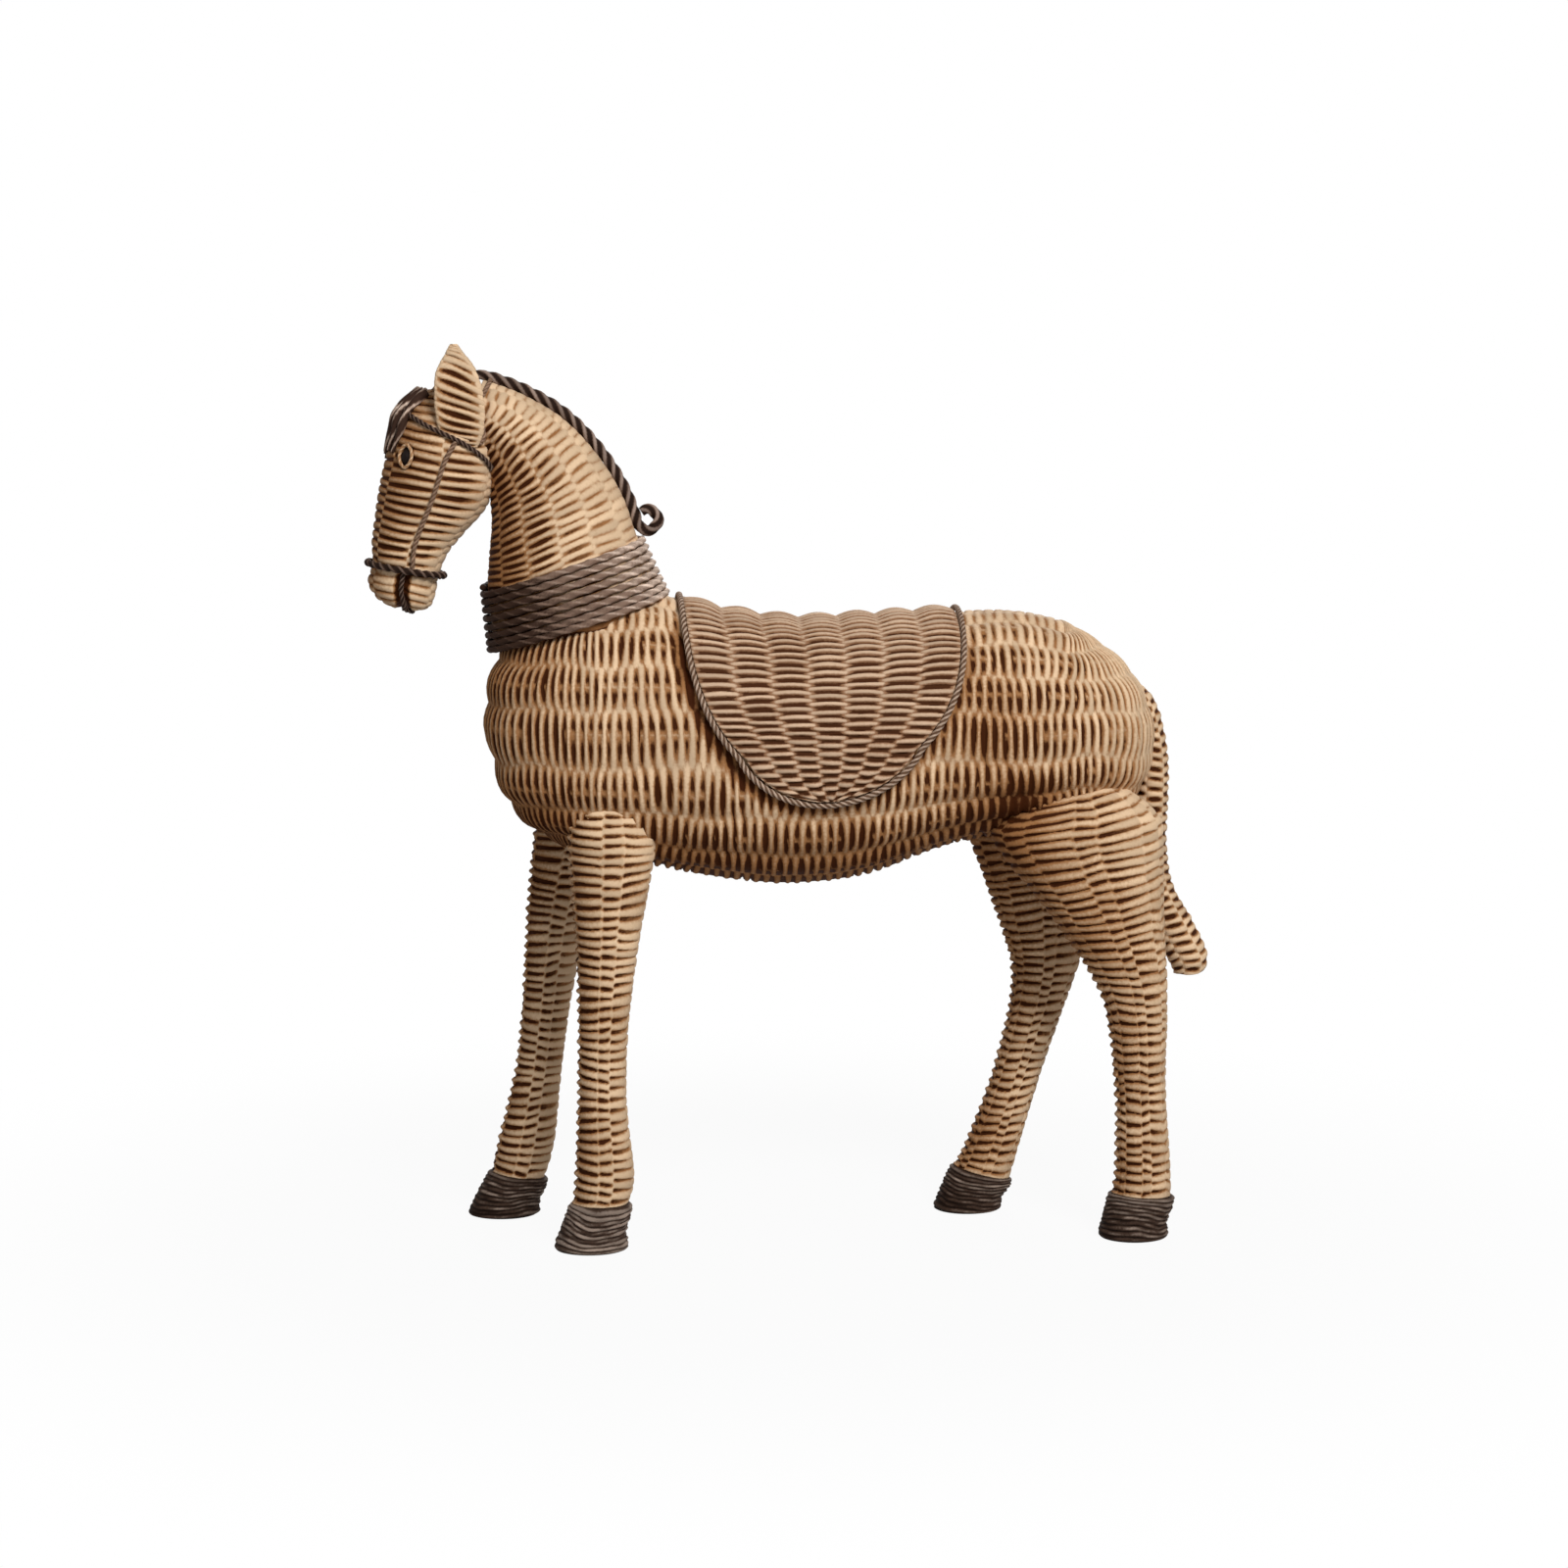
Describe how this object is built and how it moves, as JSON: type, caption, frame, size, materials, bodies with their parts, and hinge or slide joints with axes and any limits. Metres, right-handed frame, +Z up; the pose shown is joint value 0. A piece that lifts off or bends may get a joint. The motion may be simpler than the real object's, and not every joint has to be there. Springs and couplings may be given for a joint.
{
  "type": "resin horse figurine",
  "caption": "Standing horse ornament cast to look like woven cane, with a saddle blanket, a corded bridle, a cord-wrapped neck base and wound hooves.",
  "frame": {"origin": "on the ground plane, under the middle of the bounding box", "axes": "+Z up; the head faces -X; the horse's left side is -Y"},
  "size_m": [0.328, 0.097, 0.3445],
  "materials": {
    "cane": "matte, brown wash in the weave's hollows",
    "blanket": "matte, greyer brown wash",
    "cord": "matte dark brown",
    "hoof": "matte dark brown",
    "eye": "satin near-black",
    "steel": "plain"
  },
  "bodies": {
    "root": {"torso": "cane", "neck": "cane", "head": "cane", "left_ear": "cane", "right_ear": "cane", "front_left_leg": "cane", "front_right_leg": "cane", "hind_left_leg": "cane", "hind_right_leg": "cane", "front_left_hoof": "hoof", "front_right_hoof": "hoof", "hind_left_hoof": "hoof", "hind_right_hoof": "hoof", "tail": "cane", "saddle_blanket": "blanket", "saddle_edging": "cord", "neck_wrap": "cord", "mane": "cord", "forelock": "cord", "noseband": "cord", "left_cheek_strap": "cord", "right_cheek_strap": "cord", "throatlatch": "cord", "crown_strap": "cord", "mouth_cord": "cord", "left_eye": "eye", "right_eye": "eye", "left_eyelid": "cane", "right_eyelid": "cane", "leg_rods": "steel", "neck_rod": "steel", "head_pin": "steel"}
  },
  "joints": []
}
